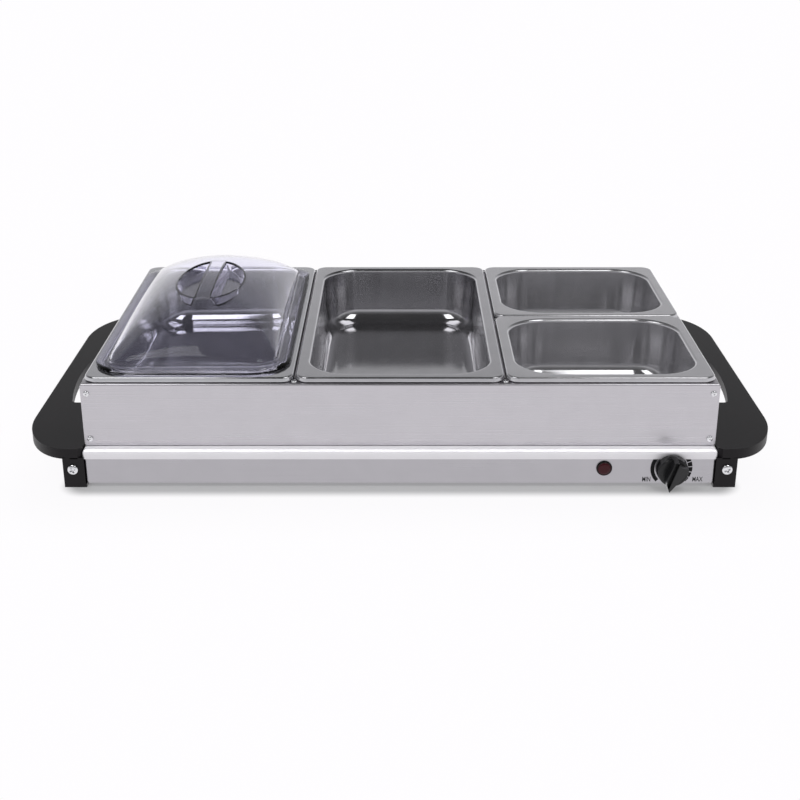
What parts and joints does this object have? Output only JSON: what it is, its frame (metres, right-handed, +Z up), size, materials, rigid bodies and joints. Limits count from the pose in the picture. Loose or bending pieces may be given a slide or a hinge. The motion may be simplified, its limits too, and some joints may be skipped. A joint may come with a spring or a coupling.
{
  "type": "buffet server",
  "caption": "Countertop buffet server: low steel warming base with end handles and one dial, steel frame with lift-out food pans, clear vaulted lid with a sunken finger grip.",
  "frame": {"origin": "on the table, under the middle of the whole part", "axes": "+X to the right seen from the front, +Y from the dial side to the back, +Z up"},
  "size_m": [0.648, 0.3698, 0.1328],
  "materials": {
    "brushed_steel": "brushed along the length",
    "pressed_steel": "deep drawn, near mirror",
    "zinc_steel": "dull zinc coat",
    "bright_steel": "bright",
    "element_sheath": "oxidised steel",
    "black_plastic": "fine moulded grain",
    "ceramic": "unglazed",
    "white_plastic": "smooth",
    "red_lens": "polished",
    "lamp_glass": "clear",
    "wire_sleeve": "silicone sleeve",
    "clear_plastic": "clear, polished"
  },
  "bodies": {
    "base": {"base_cover": "brushed_steel", "base_housing": "brushed_steel", "bottom_plate": "zinc_steel", "heating_element": "element_sheath", "element_clamp_left": "zinc_steel", "element_clamp_right": "zinc_steel", "heat_shield": "zinc_steel", "thermostat": "ceramic", "indicator_lens": "red_lens", "indicator_lamp": "lamp_glass", "indicator_clip": "zinc_steel", "terminal_block": "white_plastic", "cord_gland": "black_plastic", "lead_supply": "wire_sleeve", "lead_element_front": "wire_sleeve", "lead_element_back": "wire_sleeve", "handle_left": "black_plastic", "handle_right": "black_plastic", "handle_bracket_left": "zinc_steel", "handle_bracket_right": "zinc_steel", "handle_screw_front_left": "bright_steel", "handle_screw_front_right": "bright_steel", "handle_screw_back_left": "bright_steel", "handle_screw_back_right": "bright_steel", "bottom_screw_front_left": "zinc_steel", "bottom_screw_front_right": "zinc_steel", "bottom_screw_back_left": "zinc_steel", "bottom_screw_back_right": "zinc_steel"},
    "control": {"control_knob": "black_plastic", "thermostat_shaft": "bright_steel"},
    "pan_frame": {"frame_front_panel": "brushed_steel", "frame_back_panel": "brushed_steel", "frame_left_panel": "brushed_steel", "frame_right_panel": "brushed_steel", "divider_bar_left": "brushed_steel", "divider_bar_right": "brushed_steel", "cross_bar": "brushed_steel", "frame_rivet_front_left_low": "bright_steel", "frame_rivet_front_left_high": "bright_steel", "frame_rivet_front_right_low": "bright_steel", "frame_rivet_front_right_high": "bright_steel", "frame_rivet_back_left_low": "bright_steel", "frame_rivet_back_left_high": "bright_steel", "frame_rivet_back_right_low": "bright_steel", "frame_rivet_back_right_high": "bright_steel", "bar_rivet_front_left": "bright_steel", "bar_rivet_front_right": "bright_steel", "bar_rivet_back_left": "bright_steel", "bar_rivet_back_right": "bright_steel", "bar_rivet_cross_left": "bright_steel", "bar_rivet_cross_right": "bright_steel"},
    "pan_left": {"food_pan_left": "pressed_steel"},
    "pan_middle": {"food_pan_middle": "pressed_steel"},
    "pan_front": {"food_pan_front": "pressed_steel"},
    "pan_back": {"food_pan_back": "pressed_steel"},
    "lid": {"lid": "clear_plastic"}
  },
  "joints": [
    {"name": "control_turn", "type": "hinge", "parent": "base", "child": "control", "pos_m": [0.23, -0.16675, 0.017], "axis": [0, 1, 0], "range_deg": [0, 297]},
    {"name": "pan_frame_lift", "type": "slide", "parent": "base", "child": "pan_frame", "axis": [0, 0, 1], "range_m": [0, 0.12]},
    {"name": "pan_left_lift", "type": "slide", "parent": "pan_frame", "child": "pan_left", "axis": [0, 0, 1], "range_m": [0, 0.1]},
    {"name": "pan_middle_lift", "type": "slide", "parent": "pan_frame", "child": "pan_middle", "axis": [0, 0, 1], "range_m": [0, 0.1]},
    {"name": "pan_front_lift", "type": "slide", "parent": "pan_frame", "child": "pan_front", "axis": [0, 0, 1], "range_m": [0, 0.1]},
    {"name": "pan_back_lift", "type": "slide", "parent": "pan_frame", "child": "pan_back", "axis": [0, 0, 1], "range_m": [0, 0.1]},
    {"name": "lid_lift", "type": "slide", "parent": "pan_left", "child": "lid", "axis": [0, 0, 1], "range_m": [0, 0.1]}
  ]
}
